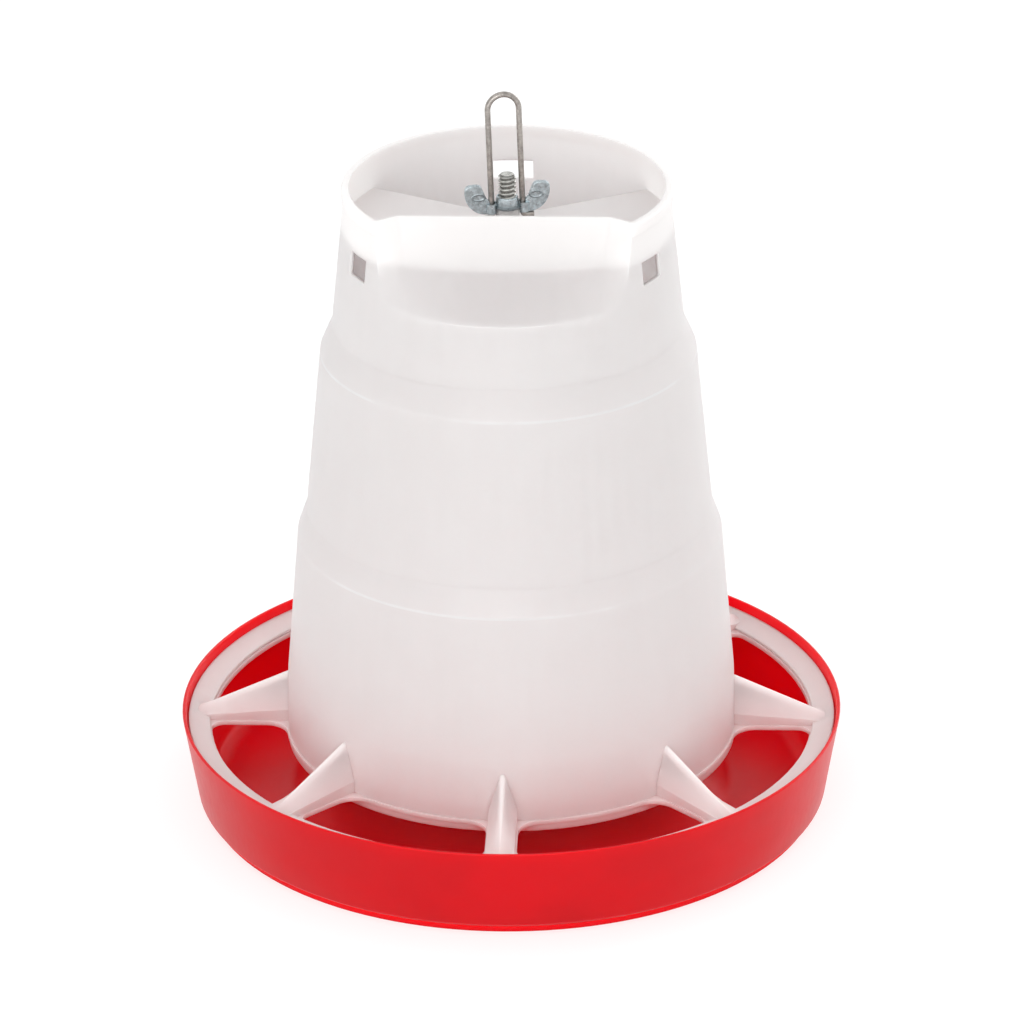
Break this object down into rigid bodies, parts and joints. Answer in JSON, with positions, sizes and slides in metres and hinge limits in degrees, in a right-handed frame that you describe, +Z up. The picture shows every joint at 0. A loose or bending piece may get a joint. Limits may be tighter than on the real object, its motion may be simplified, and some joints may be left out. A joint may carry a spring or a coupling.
{
  "type": "hanging poultry feeder",
  "caption": "Hanging poultry feeder: a stepped tapering hopper with a spoked feeding grille stands in a round feed tray, tied by a central rod to a wing nut with a wire bail.",
  "frame": {"origin": "middle of the tray's foot, on the floor", "axes": "+Z up along the rod; the flattened front of the hopper's mouth faces -Y"},
  "size_m": [0.2998, 0.2998, 0.3403],
  "materials": {
    "tray_plastic": "glossy",
    "hopper_plastic": "satin, slightly translucent",
    "threaded_rod": "zinc plated",
    "zinc": "zinc plated",
    "wire": "satin wire"
  },
  "bodies": {
    "tray": {"feed_tray": "tray_plastic", "centre_rod": "threaded_rod", "cone_washer": "zinc", "cone_nut": "zinc", "base_washer": "zinc", "base_nut": "zinc"},
    "hopper": {"hopper": "hopper_plastic"},
    "hanger": {"wing_nut": "zinc", "hanging_bail": "wire"}
  },
  "joints": [
    {"name": "hopper_lift", "type": "slide", "parent": "tray", "child": "hopper", "axis": [0, 0, 1], "range_m": [0, 0.01]},
    {"name": "hanger_turn", "type": "hinge", "parent": "hopper", "child": "hanger", "pos_m": [0, 0, 0.2863], "axis": [0, 0, 1], "range_deg": [0, 1800]}
  ],
  "couplings": [
    {"joint": "hanger_turn", "follows": "hopper_lift", "rad_per_m": 3141.5}
  ]
}
